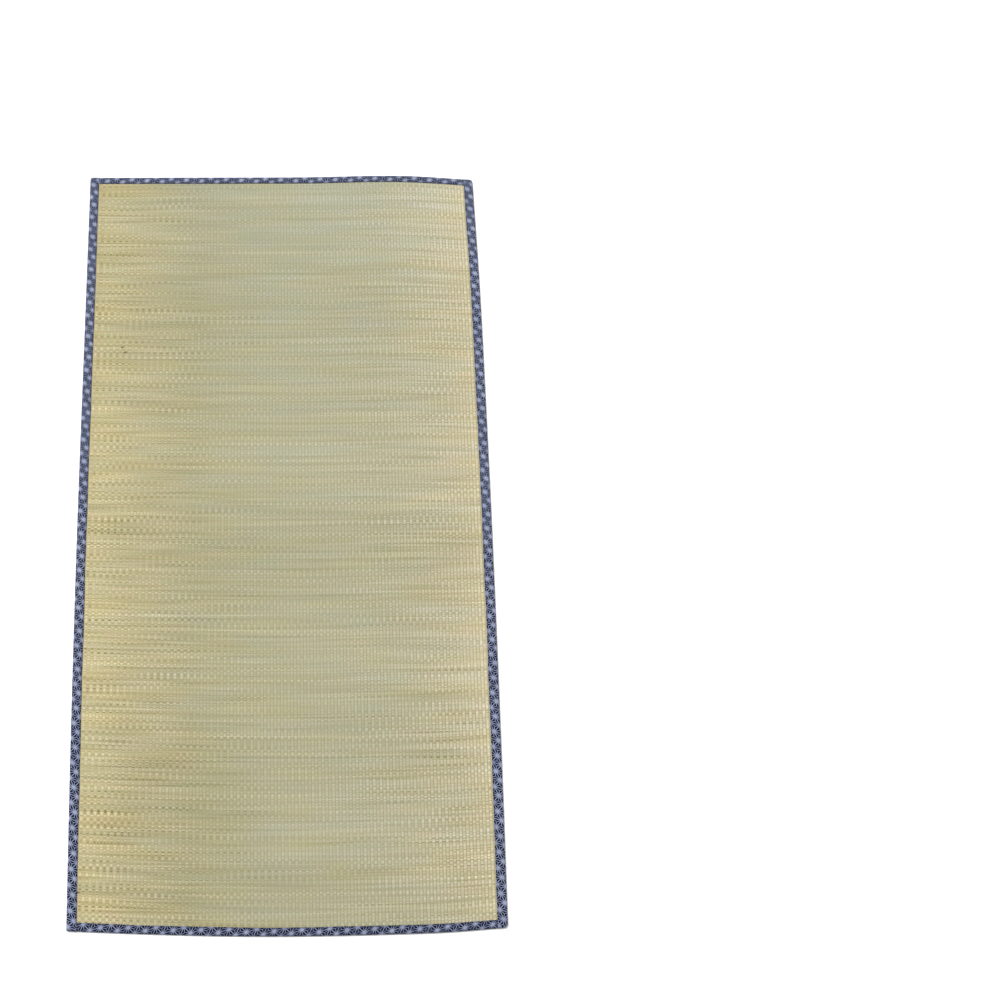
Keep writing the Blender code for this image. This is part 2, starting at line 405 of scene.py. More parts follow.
# Where the middle of the outline's box lies in the plan, which the model's frame puts at x = y = 0.
outline_shares = np.linspace(0, 1, 2001)
outline = np.concatenate([np.stack(edge_point(edge, outline_shares, 0.0), 1) for edge in EDGES])
PLAN_MIDDLE = (outline.min(axis=0) + outline.max(axis=0)) / 2


def placed(x, y, z):
    """Points in the model's frame from plan coordinates and heights."""
    x, y, z = np.broadcast_arrays(x - PLAN_MIDDLE[0], y - PLAN_MIDDLE[1], z)
    return np.stack([x, y, z], -1).reshape(-1, 3)


def add_object(name, data):
    obj = bpy.data.objects.new(name, data)
    bpy.context.scene.collection.objects.link(obj)
    return obj


def new_mesh_object(name, points, corners, starts, material):
    """An object from its points, the points at its faces' corners and where each face starts among them."""
    mesh = bpy.data.meshes.new(name)
    mesh.vertices.add(len(points))
    mesh.vertices.foreach_set("co", points.astype(np.float32).ravel())
    mesh.loops.add(len(corners))
    mesh.loops.foreach_set("vertex_index", corners.astype(np.int32))
    mesh.polygons.add(len(starts))
    mesh.polygons.foreach_set("loop_start", starts.astype(np.int32))
    mesh.update(calc_edges=True)
    mesh.materials.append(material)
    return add_object(name, mesh)


def joined_faces(*groups):
    """One list of corners and starts from arrays of faces that have a row for each face."""
    corners = np.concatenate([group.ravel() for group in groups])
    sizes = np.concatenate([np.full(len(group), group.shape[1]) for group in groups])
    return corners, np.concatenate([[0], np.cumsum(sizes)[:-1]])


def add_vector(mesh, name, values):
    attribute = mesh.attributes.new(name, "FLOAT_VECTOR", "POINT")
    attribute.data.foreach_set("vector", values.astype(np.float32).ravel())


def add_flat_map(mesh, places):
    """The flat map named OFBake: each face corner's place in it, from 0 to 1."""
    layer = mesh.uv_layers.new(name="OFBake")
    layer.uv.foreach_set("vector", np.clip(places, 0, 1).astype(np.float32).ravel())


def map_row(along, count):
    """The map's row for a place from 0 to 1 along a strip that is cut into this many rows."""
    return np.minimum((along * count).astype(int), count - 1)


def sharpen(mesh, chosen):
    """Marks the edges as sharp for whose two end points chosen gives True."""
    ends = np.empty(len(mesh.edges) * 2, np.int32)
    mesh.edges.foreach_get("vertices", ends)
    ends = ends.reshape(-1, 2)
    layer = mesh.attributes.new("sharp_edge", "BOOLEAN", "EDGE")
    layer.data.foreach_set("value", chosen(ends.min(1), ends.max(1)))


def finish_piece(obj, nodes=()):
    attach(obj, "root")
    if nodes:
        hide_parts(*nodes)


# The woven rush


def weave_grid(columns, rows):
    """Plan coordinates of the weave's grid, and how far it is lifted there, from 0 on the field to 1 over the
    tape below. Columns count from 0 to 2 * RIB_COUNT across, and rows from 0 to PICK_COUNT along."""
    across = (columns / (2 * RIB_COUNT))[None, :]
    along = (rows / PICK_COUNT)[:, None]
    left, right = row_ends(along)
    near, far = side_ends(across)
    x = between(left + PANEL_INSET, right - PANEL_INSET, across)
    y = between(near + PANEL_INSET, far - PANEL_INSET, along)
    for end, sign, to_end in (("near_", 1, along), ("far_", -1, 1 - along)):
        cut = rounded_off(across * MAT_WIDTH, CORNER_RADIUS[end + "left"])
        cut = cut + rounded_off((1 - across) * MAT_WIDTH, CORNER_RADIUS[end + "right"])
        y = y + sign * cut * np.clip(1 - to_end * MAT_LENGTH / CORNER_REACH, 0, 1)
    x_in = PANEL_INSET + np.minimum(across, 1 - across) * MAT_WIDTH
    y_in = PANEL_INSET + np.minimum(along, 1 - along) * MAT_LENGTH
    return x, y, smooth_step(1 - (np.minimum(x_in, y_in) - RIM_WIDTH) / RAMP_WIDTH)


def uneven_straws(rows, columns):
    """How much higher or lower each float lies than its neighbours."""
    rng = np.random.default_rng(STRAW_SEED)
    by_pick = rng.normal(0, PICK_UNEVEN, PICK_COUNT + 1)
    by_float = rng.normal(0, FLOAT_UNEVEN, (PICK_COUNT + 1, 2 * RIB_COUNT + 1))
    return by_pick[rows][:, None] + by_float[np.ix_(rows, columns)]


def band_points(columns, rows, under_rows):
    """The points of a band's top, row by row, and then those of its underside."""
    groove = (columns % 2 == 0)[None, :]
    rib_depth = between(*RIB_DEPTH, columns / (2 * RIB_COUNT))[None, :]

    x, y, lift = weave_grid(columns, rows)
    top = between(PANEL_THICKNESS, RIM_LIFT + PRESSED_THICKNESS, lift)
    on_crest = (rows[:, None] + columns[None, :] // 2) % 2 == 0
    drop = np.where(groove, rib_depth, np.where(on_crest, 0.0, FLOAT_DEPTH))
    uneven = np.where(groove, 0.0, uneven_straws(rows, columns))

    under_x, under_y, under_lift = weave_grid(columns, under_rows)
    bottom = RIM_LIFT * under_lift + np.where(groove, rib_depth, 0.0)
    return np.concatenate([placed(x, y, top - drop + uneven), placed(under_x, under_y, bottom)])


def band_faces(nc, nr, nu):
    """The faces of a band's top, its underside and its left, right, near and far wall. Its points lie in nc
    columns, in nr rows on its top and in nu rows on its underside."""
    under = nr * nc

    def field(row_count, first_point):
        row, column = np.meshgrid(np.arange(row_count - 1), np.arange(nc - 1), indexing="ij")
        first = first_point + (row * nc + column).ravel()
        return np.stack([first, first + 1, first + nc + 1, first + nc], 1)

    m = np.arange(nu - 1)
    low = under + m * nc
    high = [(m * UNDER_STEP + step) * nc for step in range(UNDER_STEP + 1)]
    left_wall = np.stack([low + nc, low] + high, 1)
    right_wall = np.stack([low, low + nc] + high[::-1], 1) + nc - 1

    i = np.arange(nc - 1)
    near_wall = np.stack([under + i, under + i + 1, i + 1, i], 1)
    last_low = under + (nu - 1) * nc + i
    last_high = (nr - 1) * nc + i
    far_wall = np.stack([last_low + 1, last_low, last_high, last_high + 1], 1)
    return field(nr, 0), field(nu, under)[:, ::-1], left_wall, right_wall, near_wall, far_wall


def make_band(number, first_rib, last_rib, material):
    """A band of ribs along the whole mat: floats on top, plain ribs below, closed all round."""
    columns = np.arange(2 * first_rib, 2 * last_rib + 1)
    rows = np.arange(PICK_COUNT + 1)
    under_rows = rows[::UNDER_STEP]
    nc, nr, nu = len(columns), len(rows), len(under_rows)
    faces = band_faces(nc, nr, nu)
    corners, starts = joined_faces(*faces)
    points = band_points(columns, rows, under_rows)
    obj = new_mesh_object(f"rush_weave_{number}", points, corners, starts, material)

    rib_place = np.tile(columns / 2, nr + nu)
    pick_place = np.repeat(np.concatenate([rows, under_rows]), nc)
    is_under = np.repeat((0, 1), (nr * nc, nu * nc))
    add_vector(obj.data, "weave", np.stack([rib_place, pick_place, is_under], 1))

    def is_sharp(low_end, high_end):
        on_top = high_end < nr * nc
        row, column = low_end // nc, columns[low_end % nc]
        between_floats = on_top & (high_end - low_end == 1) & ((row + column // 2) % 2 == 1)
        along_groove = (high_end - low_end == nc) & (column % 2 == 0)
        wall = (low_end < nr * nc) & ~on_top
        return between_floats | along_groove | wall

    sharpen(obj.data, is_sharp)
    add_flat_map(obj.data, band_map(nc, nr, nu, len(faces[0]), len(faces[1]), corners, starts))
    finish_piece(obj)
    return obj


def wall_number(face, nu, nc):
    """0 and 1 for the walls along the band, 2 and 3 for those at its ends."""
    return (face >= nu - 1).astype(int) + (face >= 2 * (nu - 1)) + (face >= 2 * (nu - 1) + nc - 1)


def band_map(nc, nr, nu, top_count, under_count, corners, starts):
    """Places in the flat map: the top and the underside in rows, and the walls in thin lines above."""
    sizes = np.diff(np.append(starts, len(corners)))
    face = np.repeat(np.arange(len(starts)), sizes)
    along = np.concatenate([np.repeat(np.arange(n), nc) / (n - 1) for n in (nr, nu)])[corners]
    across = (np.tile(np.arange(nc), nr + nu) / (nc - 1))[corners]
    is_under = np.repeat((0.0, 1.0), (nr * nc, nu * nc))[corners]
    face_along = (np.add.reduceat(along, starts) / sizes)[face]
    walls_from = top_count + under_count
    places = np.empty((len(corners), 2))

    def lay(chosen, row, place, level, base, tall):
        places[chosen, 0] = between(MAP_GAP, 1 - MAP_GAP, place)
        places[chosen, 1] = base + tall * row + between(MAP_GAP, tall - MAP_GAP, level)

    fields = ((0, top_count, TOP_ROWS, 0.0, TOP_SHARE),
              (top_count, walls_from, UNDER_ROWS, TOP_SHARE, UNDER_SHARE))
    for first, last, count, base, height in fields:
        chosen = (face >= first) & (face < last)
        row = map_row(face_along[chosen], count)
        lay(chosen, row, along[chosen] * count - row, across[chosen], base, height / count)

    walls = face >= walls_from
    wall = wall_number(face[walls] - walls_from, nu, nc)
    place = np.where(wall < 2, along[walls], across[walls])
    base = TOP_SHARE + UNDER_SHARE
    lay(walls, wall, place, is_under[walls], base, (1 - base) / WALL_ROWS)
    return places


def make_weave(material):
    """All the bands, from the left."""
    for number, first_rib in enumerate(range(0, RIB_COUNT, BAND_RIBS), start=1):
        last_rib = min(first_rib + BAND_RIBS, RIB_COUNT)
        make_band(number, first_rib, last_rib, material)
    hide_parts("rush_panel")


# The bindings


def tape_width(edge):
    return SIDE_TAPE_WIDTH if is_side(edge) else END_TAPE_WIDTH


def tape_stations(edge):
    """The stations along a tape: the share of the edge, and how far its corner is drawn in."""
    if not is_side(edge):
        margin = SIDE_TAPE_WIDTH / MAT_WIDTH
        count = round(MAT_WIDTH * (1 - 2 * margin) / TAPE_STEP)
        shares = np.linspace(margin, 1 - margin, count + 1)
        return shares, np.zeros_like(shares)
    first, last = ("near_right", "far_right") if edge == "right" else ("far_left", "near_left")
    first_radius, last_radius = CORNER_RADIUS[first], CORNER_RADIUS[last]
    turns = np.linspace(0, math.pi / 2, CORNER_STEPS + 1)
    start = first_radius * (1 - np.cos(turns))
    end = last_radius * (1 - np.cos(turns))
    middle = np.linspace(0, MAT_LENGTH, round(MAT_LENGTH / TAPE_STEP) + 1)
    middle = middle[(middle > first_radius + MM) & (middle < MAT_LENGTH - last_radius - MM)]
    tuck = np.array([TUCK_LENGTH, TUCK_LENGTH + TUCK_STEP])
    places = np.unique(np.concatenate([start, tuck, middle, MAT_LENGTH - tuck, MAT_LENGTH - end]))
    drawn_in = rounded_off(places, first_radius) + rounded_off(MAT_LENGTH - places, last_radius)
    return places / MAT_LENGTH, drawn_in


def edge_stray(edge, places):
    """How far the tape's inner edge strays inwards from its line."""
    return wander(places, STRAY_SEED + EDGES.index(edge), EDGE_WAVES)


def lap_lift(edge, places):
    """How far a side's tape rises near its ends, where it laps over the tapes of the ends."""
    if not is_side(edge):
        return np.zeros_like(places)
    to_end = np.minimum(places, MAT_LENGTH - places)
    return LAP_HEIGHT * smooth_step((LAP_LENGTH - to_end) / LAP_RAMP)


def tape_surface(edge, places, inward, height, width):
    """The tape's points off its plain section: its inner edge wavers and its upper flap puckers."""
    start, full = UPPER_FLAP
    upper = smooth_step((height - start) / (full - start))
    flap = smooth_step(inward / (width * STRAY_SHARE))
    shift = edge_stray(edge, places)[:, None] * flap * upper
    pucker = wander(places, PUCKER_SEED + EDGES.index(edge), PUCKER_WAVES)[:, None]
    middle = np.sin(np.clip(inward / width, 0, 1) * math.pi)
    lift = pucker * middle * upper + lap_lift(edge, places)[:, None] * upper
    return inward + shift, height + lift


def tucked(edge, places, height, outer):
    """The heights with a side's tape closed and rounded off over its last TUCK_LENGTH."""
    if not is_side(edge):
        return height
    to_end = np.minimum(places, MAT_LENGTH - places)[:, None]
    closed = to_end < TUCK_LENGTH + TUCK_SLIT
    shut = TUCK_HEIGHT + np.where(height > TUCK_HEIGHT, TUCK_SLIT, -TUCK_SLIT)
    height = np.where(closed & ~outer[None, :], shut, height)
    share = np.clip(to_end / TUCK_LENGTH, 0, 1)
    squeeze = between(TUCK_SHARE, 1, np.sqrt(1 - (1 - share) ** 2))
    return TUCK_HEIGHT + (height - TUCK_HEIGHT) * squeeze


def print_coordinates(edge, places, cloth):
    """The print's three star-row counts at places along a tape and distances of cloth from its fold."""
    rate = 2 / (math.sqrt(3) * STAR_SPACING)
    turn = math.radians(STAR_TURN[edge])
    travelled = places + STAR_START[edge] + STAR_SLANT * cloth
    counts = []
    for step in (-turn, -turn + 2 * math.pi / 3, -turn - 2 * math.pi / 3):
        counts.append(rate * (math.cos(step) * travelled + math.sin(step) * cloth))
    return np.stack(counts, -1)


def make_binding(edge, material):
    """A tape folded round one edge, closed at both ends, with its print laid along the cloth."""
    width = tape_width(edge)
    shares, drawn_in = tape_stations(edge)
    table = np.array(TAPE_SECTION)
    section_in = table[:, 0] * width + table[:, 1] * MM
    section_up = table[:, 2] * MM
    outer = table[:, 3] == 1
    places = shares * edge_length(edge)
    ns, nt = len(places), len(table)

    inward, height = tape_surface(edge, places, section_in[None, :], section_up[None, :], width)
    height = tucked(edge, places, height, outer)
    inward = between(drawn_in[:, None], width, inward / width)
    x, y = edge_point(edge, shares[:, None], inward)
    points = placed(x, y, height)

    s, t = np.meshgrid(np.arange(ns - 1), np.arange(nt), indexing="ij")
    s, t = s.ravel(), t.ravel()
    after = (t + 1) % nt
    walls = np.stack([s * nt + t, s * nt + after, (s + 1) * nt + after, (s + 1) * nt + t], 1)
    first_end = np.arange(nt)[::-1][None, :]
    last_end = ((ns - 1) * nt + np.arange(nt))[None, :]
    corners, starts = joined_faces(walls, first_end, last_end)
    obj = new_mesh_object(f"binding_tape_{edge}", points, corners, starts, material)
    mesh = obj.data

    steps = np.hypot(np.diff(section_in, append=section_in[0]), np.diff(section_up, append=section_up[0]))
    run = np.concatenate([[0], np.cumsum(steps)])
    fold = int(np.argmin(section_in))
    inside = np.where(section_up > SECTION_MIDDLE, section_in, -section_in)
    cloth = np.where(outer, run[fold] - run[:-1], inside)
    counts = print_coordinates(edge, places[:, None], cloth[None, :])
    add_vector(mesh, "star_rows", counts.reshape(-1, 3))
    tape_place = np.broadcast_arrays(places[:, None], cloth[None, :], width - section_in[None, :])
    add_vector(mesh, "tape", np.stack(tape_place, -1).reshape(-1, 3))
    add_vector(mesh, "ink_spread", np.full((ns * nt, 3), INK_SPREAD[edge]))

    def is_sharp(low_end, high_end):
        ring = high_end - low_end < nt
        return ring & ((low_end < nt) | (low_end >= (ns - 1) * nt))

    sharpen(mesh, is_sharp)
    add_flat_map(mesh, tape_map(TAPE_ROWS[edge], nt, run / run[-1], places, corners, len(walls)))
    finish_piece(obj, [f"binding_{edge}"])


def tape_map(count, nt, run, places, corners, wall_count):
    """Places in the flat map: the unfolded tape in rows, and its ends in a corner."""
    along = (places - places[0]) / (places[-1] - places[0])
    quads = corners[:wall_count * 4].reshape(-1, 4)
    station = quads // nt
    share = run[quads % nt]
    share[:, 1:3] = np.where(share[:, 1:3] == 0, 1.0, share[:, 1:3])
    row = map_row(along[station].mean(1), count)[:, None]
    tall = TAPE_SHARE / count
    u = between(MAP_GAP, 1 - MAP_GAP, along[station] * count - row)
    v = tall * row + between(MAP_GAP, tall - MAP_GAP, share)
    turns = np.linspace(0, 2 * math.pi, nt, endpoint=False)
    ring = np.stack([np.cos(turns), np.sin(turns)], 1) * RING_RADIUS
    ends = [ring[::-1] + place for place in RING_PLACES]
    return np.concatenate([np.stack([u, v], -1).reshape(-1, 2)] + ends)


def make_stitches(edge, material):
    """The thread along a tape's inner edge: one low arch for each stitch, joined in one mesh."""
    length = edge_length(edge)
    margin = SIDE_STITCH_MARGIN if is_side(edge) else END_STITCH_MARGIN
    middles = np.arange(margin, length - margin, STITCH_PITCH)
    rng = np.random.default_rng(STITCH_SEED + EDGES.index(edge))
    middles = middles + rng.normal(0, STITCH_STRAY[0], len(middles))
    inset = STITCH_INSET + rng.normal(0, STITCH_STRAY[1], len(middles))[:, None, None]

    arch = np.array(STITCH_ARCH)
    around = np.linspace(0, 2 * math.pi, THREAD_SIDES, endpoint=False)
    shape = (len(middles), len(arch), THREAD_SIDES)
    places = middles[:, None, None] + (arch[:, 0] * STITCH_LENGTH)[None, :, None] + np.zeros(shape)
    flat_places = places.reshape(-1)
    stray = edge_stray(edge, flat_places).reshape(shape)
    lap = lap_lift(edge, flat_places).reshape(shape)
    inward = tape_width(edge) - inset + stray + THREAD_RADIUS * np.cos(around)[None, None, :]
    rise = (arch[:, 1] * MM)[None, :, None]
    height = STITCH_HEIGHT + rise + lap + THREAD_RADIUS * np.sin(around)[None, None, :]
    x, y = edge_point(edge, places / length, inward)
    points = placed(x, y, height)

    ring = np.arange(THREAD_SIDES)
    after = (ring + 1) % THREAD_SIDES
    faces = []
    for step in range(len(arch) - 1):
        low, high = step * THREAD_SIDES, (step + 1) * THREAD_SIDES
        faces.append(np.stack([low + ring, low + after, high + after, high + ring], 1))
    one_tube = np.concatenate(faces)
    size = len(arch) * THREAD_SIDES
    offsets = np.arange(len(middles)) * size
    tubes = (one_tube[None] + offsets[:, None, None]).reshape(-1, 4)
    first_caps = ring[None, ::-1] + offsets[:, None]
    last_caps = (size - THREAD_SIDES + ring)[None, :] + offsets[:, None]
    corners, starts = joined_faces(tubes, first_caps, last_caps)
    obj = new_mesh_object(f"stitching_{edge}", points, corners, starts, material)
    number = np.repeat(np.arange(len(middles)), size)
    add_vector(obj.data, "thread", np.stack([flat_places, inward.reshape(-1), number], 1))
    finish_piece(obj)


# Materials


class Shades:
    """Makes the nodes of one material, each from its inputs, and gives back their outputs."""

    def __init__(self, name, roughness):
        self.material = bpy.data.materials.new(name)
        self.material.use_nodes = True
        self.tree = self.material.node_tree
        self.shader = self.tree.nodes["Principled BSDF"]
        self.shader.inputs["Roughness"].default_value = roughness

    def node(self, kind, inputs=(), **settings):
        node = self.tree.nodes.new(kind)
        for name, value in settings.items():
            setattr(node, name, value)
        for socket, value in dict(inputs).items():
            self.fill(node.inputs[socket], value)
        return node

    def fill(self, socket, value):
        """Links a socket to another node's output, or sets it to a plain value."""
        if isinstance(value, bpy.types.NodeSocket):
            self.tree.links.new(value, socket)
        else:
            socket.default_value = value

    def math(self, operation, *values):
        return self.node("ShaderNodeMath", enumerate(values), operation=operation).outputs[0]

    def add(self, first, *others):
        for other in others:
            first = self.math("ADD", first, other)
        return first

    def minus(self, first, second):
        return self.math("SUBTRACT", first, second)

    def times(self, first, second):
        return self.math("MULTIPLY", first, second)

    def apart(self, first, second):
        return self.math("ABSOLUTE", self.minus(first, second))

    def vector(self, operation, *values):
        node = self.node("ShaderNodeVectorMath", enumerate(values), operation=operation)
        return node.outputs["Value"] if operation in ("DOT_PRODUCT", "LENGTH") else node.outputs["Vector"]

    def attribute(self, name):
        node = self.node("ShaderNodeAttribute", attribute_name=name, attribute_type="GEOMETRY")
        return node.outputs["Vector"]

    def split(self, vector):
        node = self.node("ShaderNodeSeparateXYZ", {"Vector": vector})
        return node.outputs[0], node.outputs[1], node.outputs[2]

    def join(self, x, y, z=0.0):
        return self.node("ShaderNodeCombineXYZ", {"X": x, "Y": y, "Z": z}).outputs[0]

    def noise(self, vector, scale, detail=2.0, roughness=0.5):
        inputs = {"Vector": vector, "Scale": scale, "Detail": detail, "Roughness": roughness}
        return self.node("ShaderNodeTexNoise", inputs).outputs[0]

    def random(self, vector):
        """Three even random numbers, from 0 to 1, the same wherever the vector is the same."""
        node = self.node("ShaderNodeTexWhiteNoise", {"Vector": vector}, noise_dimensions="3D")
        return self.split(node.outputs["Color"])

    def ramp(self, value, low, high, to_low=0.0, to_high=1.0, smooth=False):
        kind = "SMOOTHSTEP" if smooth else "LINEAR"
        inputs = {"Value": value, "From Min": low, "From Max": high, "To Min": to_low, "To Max": to_high}
        return self.node("ShaderNodeMapRange", inputs, interpolation_type=kind).outputs[0]

    def colours(self, value, *stops):
        """A colour ramp through (place, colour) stops."""
        node = self.node("ShaderNodeValToRGB", {"Fac": value})
        ramp = node.color_ramp
        while len(ramp.elements) < len(stops):
            ramp.elements.new(1.0)
        for element, (place, colour) in zip(ramp.elements, stops):
            element.position = place
            element.color = paint(colour)
        return node.outputs["Color"]

    def mix(self, share, first, second, blend="MIX"):
        node = self.node("ShaderNodeMix", data_type="RGBA", blend_type=blend)
        for socket, value in ((0, share), (6, first), (7, second)):
            self.fill(node.inputs[socket], value)
        return node.outputs[2]

    def tinted(self, colour, factor):
        return self.mix(1.0, colour, factor, "MULTIPLY")

    def shaded(self, colour, shade):
        return self.tinted(colour, self.join(shade, shade, shade))

    def show(self, colour, roughness, relief):
        """Puts a colour, a roughness and a relief in metres on the material's shader."""
        bump = self.node("ShaderNodeBump", {"Height": relief, "Distance": 1.0, "Strength": 1.0})
        self.fill(self.shader.inputs["Base Color"], colour)
        self.fill(self.shader.inputs["Roughness"], roughness)
        self.fill(self.shader.inputs["Normal"], bump.outputs["Normal"])


def paint(colour):
    """Shader values of a colour given as red, green and blue from 0 to 255 on a screen."""
    return (*(((c / 255 + 0.055) / 1.055) ** 2.4 if c > 10 else c / 255 / 12.92 for c in colour), 1.0)


def along_straws(m, rib_place, pick, ribs_a_turn, row):
    """Noise that changes slowly along each pick, once in this many ribs, and is new on the next pick."""
    place = m.join(m.math("DIVIDE", rib_place, ribs_a_turn), m.times(pick, PICK_STRIDE), row)
    return m.minus(m.noise(place, 1.0, 1.0), 0.5)


def rush_shade(m, rib_place, pick, across):
    """How much lighter or darker a straw is than the straw round it."""
    tint, rooted, offset = m.random(m.join(pick, TINT_ROW))
    luck, _, _ = m.random(m.join(pick, LUCK_ROW))
    from_middle = m.apart(across, 0.5)
    middle_drift = along_straws(m, rib_place, pick, MIDDLE_DRIFT_RIBS, MIDDLE_ROW)
    side_drift = along_straws(m, rib_place, pick, SIDE_DRIFT_RIBS, SIDE_ROW)
    pair = m.math("FLOOR", m.times(pick, 0.5))
    pair_drift = along_straws(m, rib_place, pair, PAIR_DRIFT_RIBS, PAIR_ROW)
    side_share = m.ramp(from_middle, 0.0, SIDE_REACH, MIDDLE_SHARE, 1.0)
    side_strength = m.times(side_share, m.ramp(across, 0.2, 0.8, *SIDE_DRIFT))
    right_rooted = m.math("GREATER_THAN", rooted, 0.5)
    from_root = m.add(m.apart(across, right_rooted), m.times(m.minus(offset, 0.5), ROOT_STRAY))
    in_light = m.times(m.ramp(luck, LIGHT_LUCK, 1.0), m.ramp(middle_drift, 0.0, LIGHT_START))
    return m.add(
        m.times(middle_drift, m.ramp(from_middle, 0.0, SIDE_REACH, *MIDDLE_DRIFT)),
        m.times(side_drift, side_strength),
        m.times(m.minus(tint, 0.5), PICK_TINT),
        m.times(m.minus(0.5, from_root), m.ramp(across, 0.0, 1.0, *ROOT_TO_TIP)),
        m.times(in_light, LIGHT_PICK),
        m.times(pair_drift, m.ramp(across, 0.1, 0.5, *PAIR_DRIFT)),
    )


def fading(m, across, first, last, fade_in, fade_out):
    """1 between these two shares of the width, fading to 0 over the first and the last part of the way."""
    opening = m.ramp(across, first, first + fade_in, smooth=True)
    return m.times(opening, m.ramp(across, last - fade_out, last, 1.0, 0.0, smooth=True))


def band_tone(m, across, along, middle, reach, tone, first, last):
    """How much lighter or darker the straw of a broad band across the mat is."""
    full = m.ramp(m.apart(along, middle), 0.0, reach, tone, 0.0, smooth=True)
    return m.times(full, fading(m, across, first, last, BAND_FADE, BAND_FADE))


def streak_light(m, across, pick, share_along, first, last):
    """How much lighter a streak makes the straws of its own two picks."""
    off_pick = m.apart(pick, float(round(share_along * PICK_COUNT)) + 0.5)
    full = m.times(m.math("LESS_THAN", off_pick, 1.0), STREAK_LIGHT)
    return m.times(full, fading(m, across, first, last, *STREAK_FADES))


def speck_cover(m, across, along, share_across, share_along):
    """How much a dark speck of a few millimetres covers here."""
    off_x = m.times(m.minus(across, share_across), MAT_WIDTH / MM)
    off_y = m.times(m.minus(along, share_along), MAT_LENGTH / MM)
    distance = m.vector("LENGTH", m.join(m.times(off_x, SPECK_SQUEEZE), off_y))
    return m.ramp(distance, *SPECK_FADE, SPECK_COVER, 0.0, smooth=True)


def rush_base(m, across, along):
    """The straw's mean colour: tan beside the left tape, greyer in the middle, palest at the far right."""
    near = m.colours(across, *NEAR_STRAW)
    far = m.colours(across, *FAR_STRAW)
    return m.mix(m.math("POWER", along, FAR_POWER), near, far)


def rush_material():
    """Straws woven over and under the warps. Each pick shows on every other rib, as floats of two straws."""
    m = Shades("woven_rush", 0.6)
    rib_place, pick_place, side = m.split(m.attribute("weave"))
    across = m.math("DIVIDE", rib_place, float(RIB_COUNT))
    along = m.math("DIVIDE", pick_place, float(PICK_COUNT))
    parity = m.math("MODULO", m.add(m.math("FLOOR", rib_place), side), 2.0)
    half_pick = m.times(m.minus(pick_place, parity), 0.5)
    pick = m.add(m.times(m.math("ROUND", half_pick), 2.0), parity)
    in_float = m.minus(pick_place, pick)
    straw = m.add(m.times(pick, 2.0), m.math("GREATER_THAN", in_float, 0.0))
    off_rib = m.apart(m.math("FRACT", rib_place), 0.5)
    off_straw = m.apart(m.math("FRACT", m.add(in_float, 2.0)), 0.5)

    lift = rush_shade(m, rib_place, m.add(pick, m.times(side, 0.5)), across)
    lift = m.times(lift, m.ramp(off_rib, 0.10, 0.5, *RIB_CONTRAST, smooth=True))
    lift = m.times(lift, m.ramp(along, 0.0, 1.0, m.ramp(across, 0.0, 1.0, *NEAR_CONTRAST), 1.0))
    tones = [band_tone(m, across, along, *band) for band in TONE_BANDS]
    streaks = [streak_light(m, across, pick, *streak) for streak in LIGHT_STREAKS]
    straw_tint, _, _ = m.random(m.join(straw, STRAW_ROW, side))
    blotch = m.noise(m.join(m.times(rib_place, BLOTCHES_A_RIB), straw), 1.0)
    tint = m.ramp(straw_tint, 0.0, 1.0, -STRAW_TINT, STRAW_TINT)
    stain = m.ramp(blotch, 0.25, 0.75, -STRAW_TINT, STRAW_TINT)
    lift = m.add(lift, *tones, *streaks, tint, stain)
    # Painted shade: darker grooves between ribs, more so towards the right, and darker creases between
    # straws.
    groove = m.times(m.ramp(off_rib, 0.28, 0.5, smooth=True), m.ramp(across, 0.0, 1.0, *GROOVE_PAINTED_SHADE))
    crease_painted_shade = m.ramp(off_straw, 0.30, 0.5, 0.0, CREASE_PAINTED_SHADE, smooth=True)
    lift = m.minus(m.minus(lift, groove), crease_painted_shade)
    factor = m.vector("MULTIPLY_ADD", m.join(lift, lift, lift), SHADE_TINT, (1.0, 1.0, 1.0))
    colour = m.tinted(rush_base(m, across, along), factor)

    hue_drift = along_straws(m, rib_place, pick, HUE_DRIFT_RIBS, HUE_ROW)
    colour = m.tinted(colour, m.mix(m.ramp(hue_drift, -HUE_DRIFT, HUE_DRIFT), (*GREENER, 1), (*REDDER, 1)))
    patch_across = m.math("DIVIDE", rib_place, PATCH_RIBS)
    patch_along = m.math("DIVIDE", pick_place, PATCH_PICKS)
    patch = m.ramp(m.noise(m.join(patch_across, patch_along, PATCH_ROW), 1.0, 1.0), 0.30, 0.70)
    colour = m.tinted(colour, m.mix(patch, (*YELLOWER, 1), (*GREYER, 1)))
    for place in SPECKS:
        colour = m.mix(speck_cover(m, across, along, *place), colour, paint(SPECK_COLOUR))
    fibre_place = m.join(m.times(rib_place, FIBRES_A_RIB), m.times(pick_place, FIBRES_A_PICK), side)
    fibre = m.noise(fibre_place, 1.0)
    colour = m.shaded(colour, m.ramp(fibre, 0.25, 0.75, *FIBRE_SHADE))
    round_top = m.minus(1.0, m.math("POWER", m.times(off_straw, 2.0), 2.0))
    relief = m.add(m.times(round_top, STRAW_ROUND), m.times(fibre, FIBRE_HEIGHT))
    m.shader.inputs["Specular IOR Level"].default_value = RUSH_SPECULAR
    m.show(colour, m.ramp(fibre, 0.2, 0.8, *RUSH_ROUGHNESS), relief)
    return m.material


